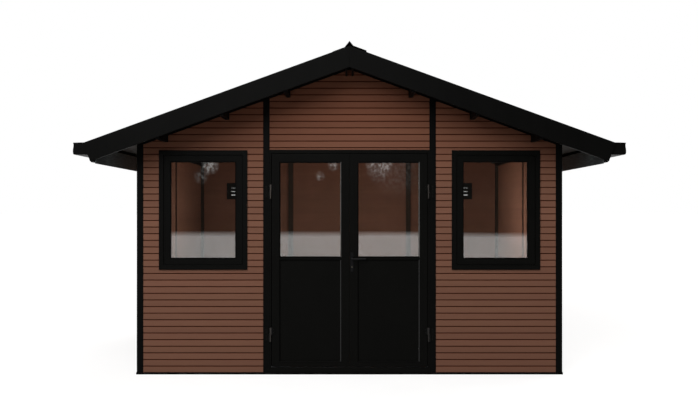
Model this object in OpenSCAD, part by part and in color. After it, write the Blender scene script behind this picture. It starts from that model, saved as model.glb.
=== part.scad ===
// Garden shed of composite planks held in a dark metal frame, under a gable roof
// of ribbed steel sheet, with two windows and a pair of glazed doors in front.
// X runs along the front, Y from the front to the back and Z up. The origin is on
// the ground, in the middle of the shed. Right is +X and left is -X.

/* [Walls] */
// Width over the corner posts
shed_w = 4000; // [3800:20:4600]
// Depth over the corner posts
shed_d = 3000; // [2600:20:4000]
// Side of the square posts
post_w = 60; // [52:2:70]
// Thickness of the plank walls
wall_t = 20; // [16:1:30]
// How far the walls lie behind the outer faces of the posts
wall_in = 5; // [3:1:12]
// Width of the joint strip in the middle of each side wall
joint_w = 45; // [36:1:60]
// Depth of the joint strips
joint_d = 30; // [26:1:45]
// Height of the side walls above the ground, up to the wall plates
wall_h = 2138; // [2000:2:2400]
// Height of the base frame under the walls
base_h = 20; // [15:1:30]
// How far the base frame stands out past the posts, outside and inside
base_out = 5; // [2:1:12]

/* [Floor] */
// Height of the floor above the ground
floor_top = 60; // [50:1:66]
// Thickness of the floor deck
floor_t = 22; // [18:1:28]
// Number of bearers under the floor
bearers = 7; // [4:1:10]
// Width of a bearer
bearer_w = 45; // [38:1:60]
// Gap between the floor deck and what stands round it
floor_gap = 5; // [3:1:12]

/* [Roof] */
// Pitch of both roof slopes, in degrees
roof_angle = 20; // [17:0.5:22]
// Overhang of the roof past the front and back walls
gable_out = 350; // [200:10:500]
// Overhang from the side walls to the outside of the eave boards
eave_out = 319; // [220:1:400]
// Thickness of the roof deck boards
deck_t = 20; // [16:1:25]
// Clearance between the layers of the roof, which lie on each other
layer_gap = 0.1; // [0.05:0.05:0.3]
// Height of the ribbed roof sheet
sheet_h = 18; // [12:1:25]
// Thickness of the sheet's metal
sheet_t = 2; // [1.5:0.5:3]
// Distance between the ribs of the sheet
rib_pitch = 183; // [120:1:250]
// Width of a rib at its foot
rib_foot = 62; // [40:1:70]
// Width of a rib at its top
rib_top = 28; // [18:1:36]
// How far the sheet runs past the eave board, measured down the slope
sheet_drip = 62; // [40:1:80]
// Distance of the sheet's top end from the ridge, measured down the slope
sheet_start = 38; // [20:1:80]
// Gap between the sheet's sides and the verge boards
sheet_side = 6; // [5:1:15]
// Thickness of a purlin or eave board
purlin_t = 38; // [30:1:50]
// Height of a purlin or eave board at its outer side
purlin_h = 155; // [120:1:165]
// Spaces between the ridge and the eave board, with a purlin between each two
purlin_spaces = 4; // [4:1:5]
// Thickness of each of the two ridge boards
ridge_board_t = 19; // [15:1:24]
// Space between the two ridge boards
ridge_board_gap = 37; // [20:1:60]
// Height of the gable rails and wall plates, square to the roof
rail_h = 100; // [80:1:102]

/* [Verge and ridge] */
// Height of the verge boards, square to the roof
verge_h = 178; // [150:1:200]
// Thickness of the verge boards
verge_t = 20; // [14:1:28]
// Half the gap of the mitre between two verge boards
verge_mitre = 0.5; // [0.2:0.1:1]
// Half width of the ridge cap
cap_half_w = 152; // [120:1:180]
// Height of the crest of the ridge cap above the roof surface
crest_h = 43; // [30:1:60]
// Half width of the crest on its low wing
crest_half_w = 44; // [34:1:60]
// How much narrower the crest is on its raised wing
crest_step = 9; // [4:1:14]
// Height of the lapped right wing of the ridge cap above the sheet
wing_lift = 13; // [8:1:18]
// Thickness of the ridge cap's metal
cap_t = 3; // [2:0.5:4]

/* [Gutters] */
// Width of a gutter
gutter_w = 161; // [120:1:170]
// Height of a gutter's front
gutter_h = 108; // [70:1:120]
// Height of a gutter's bottom above the underside of the eave board
gutter_lift = 67; // [55:1:90]
// Thickness of a gutter's wall
gutter_t = 3; // [2:0.5:4]
// Radius of the round corner under a gutter's front
gutter_corner = 14; // [8:1:20]
// Radius of the rolled bead on a gutter's lip
bead_r = 7; // [5:0.5:9]
// How far the bead lies behind the belly of the front
bead_back = 3; // [0:0.5:6]
// Depth of the wave in a gutter's front
ogee = 6; // [2:1:10]
// How much higher an end cap is at the roof than at the lip
end_rise = 4; // [0:1:15]

/* [Windows] */
// Width of a window's frame
window_w = 830; // [700:10:900]
// Height of a window's frame
window_h = 1122; // [900:2:1300]
// How far the tops of the windows lie below the tops of the side walls
window_drop = 32; // [25:1:90]
// Width of the frame's face
casing_w = 44; // [36:1:56]
// Thickness of the flange that laps over the wall
flange_t = 12; // [6:1:13]
// How far the flange laps over the wall
flange_lap = 12; // [8:1:16]
// Gap round a sash
sash_gap = 3; // [2:0.5:4]
// Width of a sash's face
sash_w = 65; // [50:1:80]
// Thickness of a sash
sash_t = 30; // [26:1:34]
// How far the sash lies behind the face of the flange
sash_recess = 7; // [4:1:10]
// Depth of the stop that the sash closes on
stop_d = 10; // [6:1:14]
// Height of the stop that a sash or a door closes on
stop_h = 15; // [10:1:20]

/* [Doors] */
// Width between the door posts
doorway_w = 1504; // [1400:4:1560]
// Height of the top of the door frame above the ground
door_head_z = 2111; // [2050:1:2130]
// Width of the side members of the door frame
jamb_w = 15; // [12:1:20]
// Height of the top member of the door frame
head_h = 30; // [24:1:40]
// Height of the sill above the base frame
sill_h = 47; // [40:1:60]
// Gap between a door leaf and its frame
leaf_gap = 5; // [5:0.5:8]
// Gap under a door leaf
leaf_gap_low = 7; // [5:0.5:10]
// Gap between the two door leaves
meeting_gap = 10; // [10:0.5:14]
// Thickness of a door leaf
leaf_t = 45; // [40:1:48]
// Width of a leaf's side members
stile_w = 78; // [70:1:95]
// Height of a leaf's top rail
top_rail_h = 87; // [70:1:110]
// Height of a leaf's middle rail
mid_rail_h = 36; // [30:1:60]
// Height of a leaf's bottom rail
bottom_rail_h = 52; // [45:1:90]
// Height of the bottom of the door glass above the ground
door_glass_z = 1108; // [1050:1:1112]
// Thickness of the door's lower panel
panel_t = 24; // [18:1:28]
// How far the lower panel lies behind the face of the leaf
panel_recess = 8; // [4:1:12]
// How far the glass lies behind the face of the leaf
door_glass_recess = 10; // [6:1:14]

/* [Glazing] */
// Thickness of the sealed glass
glass_t = 20; // [14:1:22]
// How far a window's glass lies behind the face of its sash
glass_recess = 5; // [4:0.5:6]
// Depth of the groove that holds a pane or panel
groove_d = 10; // [6:1:14]
// Clearance round a pane or panel in its groove
groove_fit = 0.3; // [0.2:0.05:0.4]

/* [Hinges] */
// Height of the upper hinges above the ground
hinge_z_high = 1718; // [1600:1:1850]
// Height of the lower hinges above the ground
hinge_z_low = 375; // [250:1:500]
// Height of a whole hinge
hinge_h = 130; // [100:1:160]
// Radius of the hinge knuckles
knuckle_r = 9; // [8:0.5:9.5]
// Radius of the hinge pins
pin_r = 5; // [4:0.5:6]
// Clearance of a turning pin or spindle in its bore
turn_fit = 0.05; // [0.02:0.01:0.09]
// Distance from the leaf's edge to the hinge axis
hinge_set = 13; // [12:0.5:15]
// Distance from the face of the frame to the hinge axis
hinge_out = 10; // [10:0.5:12]
// Thickness of the hinge plates
flag_t = 5; // [4:0.5:5]
// Width of the plates on the frame
frame_flag_w = 44; // [30:1:48]
// Width of the plates on the leaf
leaf_flag_w = 30; // [24:1:40]
// Gap between the turning half of a hinge and what it passes
hinge_clear = 5; // [5:0.5:6]
// Gap between the two halves of a hinge, along the pin
thrust_gap = 0.3; // [0.2:0.1:0.5]
// How far a pin's end lies below the top of its sleeve
pin_short = 2; // [1:0.5:4]

/* [Handle] */
// Distance from the meeting edge of the leaf to the spindle
backset = 18; // [17:1:24]
// Height of the spindle above the ground
handle_z = 1088; // [1070:1:1110]
// Width of the handle plates
plate_w = 28; // [24:1:34]
// Height of the handle plates
plate_h = 178; // [150:1:210]
// How much of a plate lies below the spindle
plate_below = 124; // [80:1:130]
// Thickness of the handle plates
plate_t = 8; // [6:1:10]
// Radius of the corners of the plates
plate_corner = 6; // [3:1:10]
// Radius of the spindle
spindle_r = 7; // [5:0.5:8]
// Clearance round the spindle inside the leaf
spindle_room = 5; // [3:0.5:6]
// Radius of the lever's neck and grip
grip_r = 8.5; // [8:0.5:10]
// Distance of the grip from the face of the plate
grip_out = 44; // [38:1:55]
// Length of the grip from the spindle
grip_l = 122; // [100:1:135]

/* [Vents] */
// Side of a vent's square flange
vent_w = 218; // [180:1:240]
// Distance from the corner post to the middle of a vent
vent_from_post = 415; // [300:1:500]
// How far the middle of a vent lies below the tops of the side walls
vent_drop = 334; // [250:1:600]
// Thickness of a vent's flanges
vent_flange_t = 6; // [4:1:10]
// How far a vent's flange laps over the wall
vent_lap = 14; // [10:1:20]
// Number of slots in a vent
vent_slots = 3; // [2:1:3]
// Length of a vent's slots
slot_w = 106; // [80:1:130]
// Height of a vent's slots
slot_h = 16; // [10:1:20]
// Distance between the slots
slot_pitch = 48; // [40:1:52]
// How far the hood over a slot stands out
hood_out = 16; // [10:1:22]
// How far the lip of a hood hangs below the top of its slot
hood_drop = 4; // [2:1:6]
// How far a hood runs past the ends of its slot
hood_side = 6; // [3:1:10]
// Height of a hood above the top of its slot
hood_h = 8; // [6:1:12]

/* [Hidden] */
$fn = 48;
cut = 1;  // how far a cutter runs past a face
lap = 1;  // how far joined shapes run into each other

metal = "#16171a";
plank = "#6f4a3c";
glass = "#3a3230";

// Planes of the walls
half_w = shed_w / 2;
half_d = shed_d / 2;
bay_x = half_w - post_w;  // inner face of the side posts
bay_y = half_d - post_w;  // inner face of the front and back posts
side_in = half_w - wall_in - wall_t;  // inner faces of the side walls
back_in = half_d - wall_in - wall_t;  // inner face of the back wall
ring_in = post_w + base_out;  // from the outer face of the posts to the inside of the base frame

// Roof lines
function steep(t) = t / cos(roof_angle);  // height of a thickness that is square to the roof
ridge_z = wall_h + tan(roof_angle) * half_w + steep(sheet_h + deck_t + rail_h);
function roof_top(x) = ridge_z - tan(roof_angle) * abs(x);
function deck_under(x) = roof_top(x) - steep(sheet_h + deck_t);
function rail_under(x) = deck_under(x) - steep(rail_h);
eave_x = half_w + eave_out;  // outer face of the eave boards
purlin_pitch = (eave_x - purlin_t / 2) / purlin_spaces;
roof_y = half_d + gable_out - verge_t;  // inner faces of the verge boards

// Doorway and doors
post_x = doorway_w / 2;  // inner face of the door posts
jamb_x = post_x - jamb_w;
sill_z = base_h + sill_h;
head_z = door_head_z - head_h;
leaf_x0 = meeting_gap / 2;
leaf_x1 = jamb_x - leaf_gap;
leaf_z0 = sill_z + leaf_gap_low;
leaf_z1 = head_z - leaf_gap;
light_x0 = leaf_x0 + stile_w;
light_x1 = leaf_x1 - stile_w;
light_z1 = leaf_z1 - top_rail_h;
panel_z0 = leaf_z0 + bottom_rail_h;
panel_z1 = door_glass_z - mid_rail_h;

// Windows and vents
window_x = (bay_x + post_x + post_w) / 2;  // middle of the bay beside the doors
window_z = wall_h - window_drop - window_h;
vent_x = bay_x - vent_from_post;
vent_z = wall_h - vent_drop;
wall_face = -half_d + wall_in;  // outer face of the front wall
sash_y = wall_face - flange_t + sash_recess;

// Hinges and handle
face_y = -half_d;  // faces of the door frame and of the leaves
hinge_x = leaf_x1 + hinge_set;
hinge_y = face_y - hinge_out;
knuckle_h = (hinge_h - thrust_gap) / 2;
spindle_x = leaf_x0 + backset;

// ---------- helpers ----------

// A box between its lowest and its highest corner
module slab(lo, hi) {
  translate(lo) cube(hi - lo);
}

// The right half's shape as it is, and its mirror image for the left half
module to_side(side) {
  if (side < 0) mirror([1, 0, 0]) children();
  else children();
}

module both_sides() {
  for (side = [-1, 1]) to_side(side) children();
}

// An outline in X and Z, drawn out along Y
module along_y(y0, y1) {
  translate([0, y1, 0]) rotate([90, 0, 0]) linear_extrude(y1 - y0) children();
}

// A rectangular ring in X and Z round an opening
module ring(x, z, w, h, face, y0, y1) {
  difference() {
    slab([x - w / 2, y0, z - h / 2], [x + w / 2, y1, z + h / 2]);
    slab([x - w / 2 + face, y0 - cut, z - h / 2 + face], [x + w / 2 - face, y1 + cut, z + h / 2 - face]);
  }
}

// A board under the roof deck, with its top cut to the slope and raised by rise where it is a cutter
module roof_board(x0, x1, rise) {
  along_y(-roof_y, roof_y)
    polygon([
      [x0, deck_under(x1) - purlin_h], [x1, deck_under(x1) - purlin_h],
      [x1, deck_under(x1) + rise], [x0, deck_under(x0) + rise]
    ]);
}

module ridge_board(rise) {
  roof_board(ridge_board_gap / 2, ridge_board_gap / 2 + ridge_board_t, rise);
}

module purlin_row(rise) {
  for (i = [1:purlin_spaces - 1])
    roof_board(i * purlin_pitch - purlin_t / 2, i * purlin_pitch + purlin_t / 2, rise);
}

// A strip that follows the slope from x0 to x1, between two depths square to the roof
module gable_strip(x0, x1, high, low, y0, y1) {
  along_y(y0, y1)
    polygon([
      [x0, roof_top(x0) - steep(low)], [x1, roof_top(x1) - steep(low)],
      [x1, roof_top(x1) - steep(high)], [x0, roof_top(x0) - steep(high)]
    ]);
}

// ---------- base and floor ----------

module base_frame() {
  color(metal)
    difference() {
      slab([-half_w - base_out, -half_d - base_out, 0], [half_w + base_out, half_d + base_out, base_h]);
      slab([-half_w + ring_in, -half_d + ring_in, -cut],
        [half_w - ring_in, half_d - ring_in, base_h + cut]);
    }
}

module floor_bearers() {
  first = -half_d + ring_in + bearer_w;
  step = (-2 * first - bearer_w) / (bearers - 1);
  color("#5b5048")
    for (i = [0:bearers - 1]) {
      y = first + i * step;
      slab([-half_w + ring_in, y, 0], [half_w - ring_in, y + bearer_w, floor_top - floor_t]);
    }
}

// The space that the posts and the door frame take out of the floor deck
module floor_notches() {
  low = floor_top - floor_t - cut;
  high = floor_top + cut;
  both_sides()
    for (y = [-half_d, bay_y], x = [bay_x, post_x])
      slab([x - floor_gap, y - floor_gap, low], [x + post_w + floor_gap, y + post_w + floor_gap, high]);
  slab([-post_x - floor_gap, -half_d, low], [post_x + floor_gap, -bay_y + floor_gap, high]);
  both_sides()
    slab([half_w - joint_d - floor_gap, -joint_w / 2 - floor_gap, low],
      [half_w, joint_w / 2 + floor_gap, high]);
}

module floor_deck() {
  x = side_in - floor_gap;
  y = back_in - floor_gap;
  color("#7a6250")
    difference() {
      slab([-x, -y, floor_top - floor_t], [x, y, floor_top]);
      floor_notches();
    }
}

// ---------- posts ----------

// A post in a gable wall, cut off under the gable rail
module gable_post(x, y0) {
  along_y(y0, y0 + post_w)
    polygon([
      [x, base_h], [x + post_w, base_h], [x + post_w, rail_under(x + post_w)], [x, rail_under(x)]
    ]);
}

module corner_posts() {
  color(metal)
    for (y = [-half_d, bay_y])
      both_sides() gable_post(bay_x, y);
}

module door_posts() {
  color(metal) both_sides() gable_post(post_x, -half_d);
}

module back_posts() {
  color(metal) both_sides() gable_post(post_x, bay_y);
}

// The strips that join the planks of the side walls
module side_posts() {
  color(metal) both_sides() slab([half_w - joint_d, -joint_w / 2, base_h], [half_w, joint_w / 2, wall_h]);
}

// ---------- walls ----------

// The cuts that the ridge boards and purlins need
module timber_cuts() {
  both_sides() {
    ridge_board(cut);
    purlin_row(cut);
  }
}

// The plank wall of one bay of a gable, up to the gable rail and round the purlins
module gable_bay(x0, x1, z0, y0) {
  difference() {
    along_y(y0, y0 + wall_t)
      polygon([[x0, z0], [x1, z0], [x1, rail_under(x1)], [x0, rail_under(x0)]]);
    timber_cuts();
  }
}

// The wall between the two middle posts, up to the ridge
module middle_bay(z0, y0) {
  difference() {
    along_y(y0, y0 + wall_t)
      polygon([
        [-post_x, z0], [post_x, z0], [post_x, rail_under(post_x)],
        [0, rail_under(0)], [-post_x, rail_under(post_x)]
      ]);
    timber_cuts();
  }
}

module front_side_wall() {
  hole_x = window_w / 2 - flange_lap;
  hole_z = window_z + flange_lap;
  hole_h = window_h - 2 * flange_lap;
  difference() {
    gable_bay(post_x + post_w, bay_x, base_h, wall_face);
    slab([window_x - hole_x, -half_d, hole_z], [window_x + hole_x, -bay_y, hole_z + hole_h]);
  }
}

module front_wall_left() {
  color(plank) to_side(-1) front_side_wall();
}

module front_wall_right() {
  color(plank) to_side(1) front_side_wall();
}

module front_gable() {
  color(plank) middle_bay(door_head_z, wall_face);
}

module side_wall() {
  for (y = [-bay_y, joint_w / 2])
    slab([side_in, y, base_h], [side_in + wall_t, y + bay_y - joint_w / 2, wall_h]);
}

module left_wall() {
  color(plank) to_side(-1) side_wall();
}

module right_wall() {
  color(plank) to_side(1) side_wall();
}

module back_side_wall() {
  hole = vent_w - 2 * vent_lap;
  difference() {
    gable_bay(post_x + post_w, bay_x, base_h, back_in);
    slab([vent_x - hole / 2, bay_y, vent_z - hole / 2], [vent_x + hole / 2, half_d, vent_z + hole / 2]);
  }
}

module back_wall_left() {
  color(plank) to_side(-1) back_side_wall();
}

module back_wall_right() {
  color(plank) to_side(1) back_side_wall();
}

module back_wall_middle() {
  color(plank) middle_bay(base_h, back_in);
}

// ---------- vents ----------

// A hood that sheds the rain over one slot, whose top lies at z
module vent_hood(z, y) {
  translate([vent_x - slot_w / 2 - hood_side, 0, 0])
    rotate([90, 0, 90]) linear_extrude(slot_w + 2 * hood_side)
      polygon([[y, z], [y + hood_out, z - hood_drop], [y, z + hood_h]]);
}

module vent() {
  hole = vent_w / 2 - vent_lap;
  out = back_in + wall_t + vent_flange_t;
  first = vent_z - slot_pitch * (vent_slots - 1) / 2;
  difference() {
    union() {
      slab([vent_x - hole, back_in - lap, vent_z - hole],
        [vent_x + hole, back_in + wall_t + lap, vent_z + hole]);
      for (y = [back_in - vent_flange_t, back_in + wall_t])
        slab([vent_x - vent_w / 2, y, vent_z - vent_w / 2],
          [vent_x + vent_w / 2, y + vent_flange_t, vent_z + vent_w / 2]);
    }
    for (i = [0:vent_slots - 1])
      slab([vent_x - slot_w / 2, back_in - vent_flange_t - cut, first + i * slot_pitch - slot_h / 2],
        [vent_x + slot_w / 2, out + cut, first + i * slot_pitch + slot_h / 2]);
  }
  for (i = [0:vent_slots - 1])
    vent_hood(first + i * slot_pitch + slot_h / 2, out);
}

module vents() {
  color(metal) both_sides() vent();
}

// ---------- rails and plates ----------

// The sloping top rail of a gable, in lengths between the roof timbers
module gable_rail(y0) {
  color(metal)
    difference() {
      both_sides()
        gable_strip(0, half_w, sheet_h + deck_t, sheet_h + deck_t + rail_h - layer_gap, y0, y0 + post_w);
      timber_cuts();
    }
}

module gable_rail_front() {
  gable_rail(-half_d);
}

module gable_rail_back() {
  gable_rail(bay_y);
}

module wall_plates() {
  color(metal)
    both_sides()
      along_y(-bay_y, bay_y)
        polygon([
          [bay_x, wall_h], [half_w, wall_h], [half_w, deck_under(half_w)], [bay_x, deck_under(bay_x)]
        ]);
}

// ---------- windows ----------

module window_frame() {
  z = window_z + window_h / 2;
  inner = casing_w - flange_lap;
  w = window_w - 2 * flange_lap;
  h = window_h - 2 * flange_lap;
  sash_back = sash_y + sash_t;
  ring(window_x, z, window_w, window_h, casing_w, wall_face - flange_t, wall_face);
  ring(window_x, z, w, h, inner, wall_face - lap, sash_back);
  ring(window_x, z, w, h, inner + stop_h, sash_back, sash_back + stop_d);
}

module window_frames() {
  color(metal) both_sides() window_frame();
}

module window_sash() {
  z = window_z + window_h / 2;
  w = window_w - 2 * (casing_w + sash_gap);
  h = window_h - 2 * (casing_w + sash_gap);
  pocket_w = w - 2 * sash_w + 2 * groove_d;
  pocket_h = h - 2 * sash_w + 2 * groove_d;
  difference() {
    ring(window_x, z, w, h, sash_w, sash_y, sash_y + sash_t);
    slab([window_x - pocket_w / 2, sash_y + glass_recess - groove_fit, z - pocket_h / 2],
      [window_x + pocket_w / 2, sash_y + glass_recess + glass_t + groove_fit, z + pocket_h / 2]);
  }
}

module window_sashes() {
  color(metal) both_sides() window_sash();
}

module window_pane() {
  z = window_z + window_h / 2;
  edge = casing_w + sash_gap + sash_w - groove_d + groove_fit;
  slab([window_x - window_w / 2 + edge, sash_y + glass_recess, window_z + edge],
    [window_x + window_w / 2 - edge, sash_y + glass_recess + glass_t, window_z + window_h - edge]);
}

module window_glass() {
  color(glass, 0.5) both_sides() window_pane();
}

// ---------- door frame ----------

module door_frame() {
  back = face_y + post_w;
  stop_y = face_y + leaf_t + leaf_gap;
  color(metal)
    difference() {
      slab([-post_x, face_y, base_h], [post_x, back, door_head_z]);
      slab([-jamb_x, face_y - cut, sill_z], [jamb_x, stop_y, head_z]);
      slab([-jamb_x + stop_h, face_y, sill_z], [jamb_x - stop_h, back + cut, head_z - stop_h]);
    }
}

// ---------- doors ----------

// The opening for a pane or panel, with the groove that holds it
module light_cut(z0, z1, recess, t) {
  slab([light_x0, face_y - cut, z0], [light_x1, face_y + leaf_t + cut, z1]);
  slab([light_x0 - groove_d, face_y + recess - groove_fit, z0 - groove_d],
    [light_x1 + groove_d, face_y + recess + t + groove_fit, z1 + groove_d]);
}

// A pane or panel in its groove
module light_fill(z0, z1, recess, t) {
  edge = groove_d - groove_fit;
  slab([light_x0 - edge, face_y + recess, z0 - edge], [light_x1 + edge, face_y + recess + t, z1 + edge]);
}

module door_leaf() {
  difference() {
    slab([leaf_x0, face_y, leaf_z0], [leaf_x1, face_y + leaf_t, leaf_z1]);
    light_cut(door_glass_z, light_z1, door_glass_recess, glass_t);
    light_cut(panel_z0, panel_z1, panel_recess, panel_t);
  }
}

module door_leaf_left() {
  color(metal) to_side(-1) door_leaf();
}

module door_leaf_right() {
  color(metal)
    difference() {
      door_leaf();
      translate([spindle_x, face_y - cut, handle_z]) rotate([-90, 0, 0])
        cylinder(r = spindle_r + spindle_room, h = leaf_t + 2 * cut);
    }
}

module door_glass() {
  light_fill(door_glass_z, light_z1, door_glass_recess, glass_t);
}

module door_glass_left() {
  color(glass, 0.5) to_side(-1) door_glass();
}

module door_glass_right() {
  color(glass, 0.5) to_side(1) door_glass();
}

module door_panel() {
  light_fill(panel_z0, panel_z1, panel_recess, panel_t);
}

module door_panel_left() {
  color(metal) to_side(-1) door_panel();
}

module door_panel_right() {
  color(metal) to_side(1) door_panel();
}

// ---------- hinges ----------

// The half of a hinge that is fixed to the frame: a knuckle, its pin and a plate
module hinge_fixed(z) {
  low = z - hinge_h / 2;
  plate_x = hinge_x + knuckle_r + hinge_clear;
  translate([hinge_x, hinge_y, low]) {
    cylinder(r = knuckle_r, h = knuckle_h);
    cylinder(r = pin_r, h = hinge_h - pin_short);
  }
  slab([hinge_x, face_y - flag_t, low], [plate_x + lap, face_y, low + knuckle_h]);
  slab([plate_x, face_y - flag_t, low], [plate_x + frame_flag_w, face_y, low + hinge_h]);
}

// The half that turns with the leaf: a sleeve on the pin and a plate
module hinge_sleeve(z) {
  low = z + hinge_h / 2 - knuckle_h;
  high = z + hinge_h / 2;
  plate_x = leaf_x1 - lap;
  difference() {
    union() {
      translate([hinge_x, hinge_y, low]) cylinder(r = knuckle_r, h = knuckle_h);
      slab([plate_x - flag_t, hinge_y - flag_t / 2, low], [hinge_x, face_y - flag_t, high]);
      slab([plate_x - leaf_flag_w, face_y - flag_t, low], [plate_x, face_y, high]);
    }
    translate([hinge_x, hinge_y, low - cut]) cylinder(r = pin_r + turn_fit, h = knuckle_h + 2 * cut);
  }
}

module hinge_pins() {
  color(metal)
    both_sides()
      for (z = [hinge_z_low, hinge_z_high]) hinge_fixed(z);
}

module hinge_sleeves() {
  for (z = [hinge_z_low, hinge_z_high]) hinge_sleeve(z);
}

module hinge_sleeves_left() {
  color(metal) to_side(-1) hinge_sleeves();
}

module hinge_sleeves_right() {
  color(metal) to_side(1) hinge_sleeves();
}

// ---------- handle ----------

// A flat plate in X and Z with round corners, with its bore for the spindle
module handle_plate(y0, y1) {
  x0 = spindle_x - plate_w / 2;
  x1 = spindle_x + plate_w / 2;
  z0 = handle_z - plate_below;
  z1 = z0 + plate_h;
  r = plate_corner;
  difference() {
    along_y(y0, y1) {
      translate([x0 + r, z0]) square([plate_w - 2 * r, plate_h]);
      translate([x0, z0 + r]) square([plate_w, plate_h - 2 * r]);
      for (x = [x0 + r, x1 - r], z = [z0 + r, z1 - r])
        translate([x, z]) circle(r);
    }
    translate([spindle_x, y0 - cut, handle_z]) rotate([-90, 0, 0])
      cylinder(r = spindle_r + turn_fit, h = y1 - y0 + 2 * cut);
  }
}

module handle_plates() {
  color("#2a2b2e") {
    handle_plate(face_y - plate_t, face_y);
    handle_plate(face_y + leaf_t, face_y + leaf_t + plate_t);
  }
}

// A neck and grip on one face of the door, standing out towards -Y
module lever(y_plate) {
  y_grip = y_plate - grip_out;
  translate([spindle_x, y_grip, handle_z]) {
    rotate([-90, 0, 0]) cylinder(r = grip_r, h = grip_out - thrust_gap);
    rotate([0, 90, 0]) cylinder(r = grip_r, h = grip_l);
    sphere(grip_r);
    translate([grip_l, 0, 0]) sphere(grip_r);
  }
}

module handle_lever() {
  mid = face_y + leaf_t / 2;
  color("#2a2b2e") {
    lever(face_y - plate_t);
    translate([0, 2 * mid, 0]) mirror([0, 1, 0]) lever(face_y - plate_t);
    translate([spindle_x, face_y - plate_t - lap, handle_z]) rotate([-90, 0, 0])
      cylinder(r = spindle_r, h = leaf_t + 2 * plate_t + 2 * lap);
  }
}

// ---------- roof timbers ----------

module ridge_boards() {
  color(metal) both_sides() ridge_board(0);
}

module purlins() {
  color(metal) both_sides() purlin_row(0);
}

module eave_boards() {
  color(metal) both_sides() roof_board(eave_x - purlin_t, eave_x, 0);
}

// ---------- roof covering ----------

module roof_deck() {
  gable_strip(0, eave_x, sheet_h + layer_gap, sheet_h + deck_t - layer_gap, -roof_y, roof_y);
}

module roof_deck_left() {
  color("#4a4038") to_side(-1) roof_deck();
}

module roof_deck_right() {
  color("#4a4038") to_side(1) roof_deck();
}

// The line of a ribbed sheet across the slope: flats at the foot, ribs at the top
sheet_y = roof_y - sheet_side;
ribs = floor((2 * sheet_y - rib_foot) / rib_pitch);
first_rib = -ribs * rib_pitch / 2;
function rib_line(low, high) = [
  [-sheet_y, low],
  for (i = [0:ribs]) let (y = first_rib + i * rib_pitch) each [
    [y - rib_foot / 2, low], [y - rib_top / 2, high], [y + rib_top / 2, high], [y + rib_foot / 2, low]
  ],
  [sheet_y, low]
];
function backwards(list) = [for (i = [len(list) - 1:-1:0]) list[i]];

module roof_sheet() {
  length = steep(eave_x) + sheet_drip - sheet_start;
  translate([0, 0, ridge_z]) rotate([0, roof_angle, 0]) translate([sheet_start, 0, 0])
    rotate([90, 0, 90]) linear_extrude(length)
      polygon(concat(rib_line(-sheet_h, -sheet_t), backwards(rib_line(-sheet_h + sheet_t, 0))));
}

module roof_sheet_left() {
  color(metal) to_side(-1) roof_sheet();
}

module roof_sheet_right() {
  color(metal) to_side(1) roof_sheet();
}

// A folded cap whose left wing lies on the ribs and whose right wing laps over them on a hem
module ridge_cap() {
  w = cap_half_w;
  c = crest_half_w;
  r = crest_half_w - crest_step;
  t = cap_t;
  function on_ribs(x) = roof_top(x) + layer_gap;
  color(metal)
    along_y(-roof_y - verge_t, roof_y + verge_t)
      polygon([
        [-w, on_ribs(w)], [-w, on_ribs(w) + t], [-c, on_ribs(c) + t], [0, ridge_z + crest_h],
        [r, on_ribs(r) + wing_lift], [w, on_ribs(w) + wing_lift], [w, on_ribs(w)], [w - t, on_ribs(w - t)],
        [w - t, on_ribs(w - t) + wing_lift - t], [r - t, on_ribs(r - t) + wing_lift - t],
        [0, ridge_z + crest_h - 2 * t], [-c + t, on_ribs(c - t)]
      ]);
}

// ---------- verges and gutters ----------

// One board on a gable's edge: mitred at the ridge and cut square at the eave
module verge_board(y0) {
  x_end = eave_x + verge_h * sin(roof_angle);
  along_y(y0, y0 + verge_t)
    polygon([
      [verge_mitre, roof_top(verge_mitre)], [x_end, roof_top(x_end)],
      [eave_x, roof_top(eave_x) - steep(verge_h)], [verge_mitre, roof_top(verge_mitre) - steep(verge_h)]
    ]);
}

module verge_boards_front() {
  color(metal) both_sides() verge_board(-roof_y - verge_t);
}

module verge_boards_back() {
  color(metal) both_sides() verge_board(roof_y);
}

// The front of a gutter: a round corner, a belly low down, a hollow above it and a bead on the lip
wave_steps = 10;
corner_steps = 4;
belly = 0.3;  // height of the belly, as a share of the front's height
function gutter_front(z) = gutter_w - ogee / 2 * (1 - cos(360 * (z / gutter_h - belly)));
function gutter_side(inset) =
  let (r = gutter_corner, x = gutter_front(r)) concat(
    [for (i = [0:corner_steps]) let (a = 90 * i / corner_steps)
      [eave_x + x - r + (r - inset) * sin(a), r - (r - inset) * cos(a)]],
    [for (i = [1:wave_steps]) let (z = r + (gutter_h - r) * i / wave_steps)
      [eave_x + gutter_front(z) - inset, z]]
  );

module gutter() {
  low = deck_under(eave_x) - purlin_h + gutter_lift;
  back_h = deck_under(eave_x) - low;
  translate([0, 0, low]) {
    along_y(-roof_y, roof_y) {
      polygon(concat(
        [[eave_x, back_h], [eave_x, 0]], gutter_side(0),
        backwards(gutter_side(gutter_t)), [[eave_x + gutter_t, gutter_t], [eave_x + gutter_t, back_h]]
      ));
      translate([eave_x + gutter_w - bead_back - bead_r, gutter_h - bead_r]) circle(bead_r);
    }
    for (y = [-roof_y, roof_y - gutter_t])
      along_y(y, y + gutter_t)
        polygon(concat([[eave_x, gutter_h + end_rise], [eave_x, 0]], gutter_side(0)));
  }
}

module gutter_left() {
  color(metal) to_side(-1) gutter();
}

module gutter_right() {
  color(metal) to_side(1) gutter();
}

// ---------- the shed ----------

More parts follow.
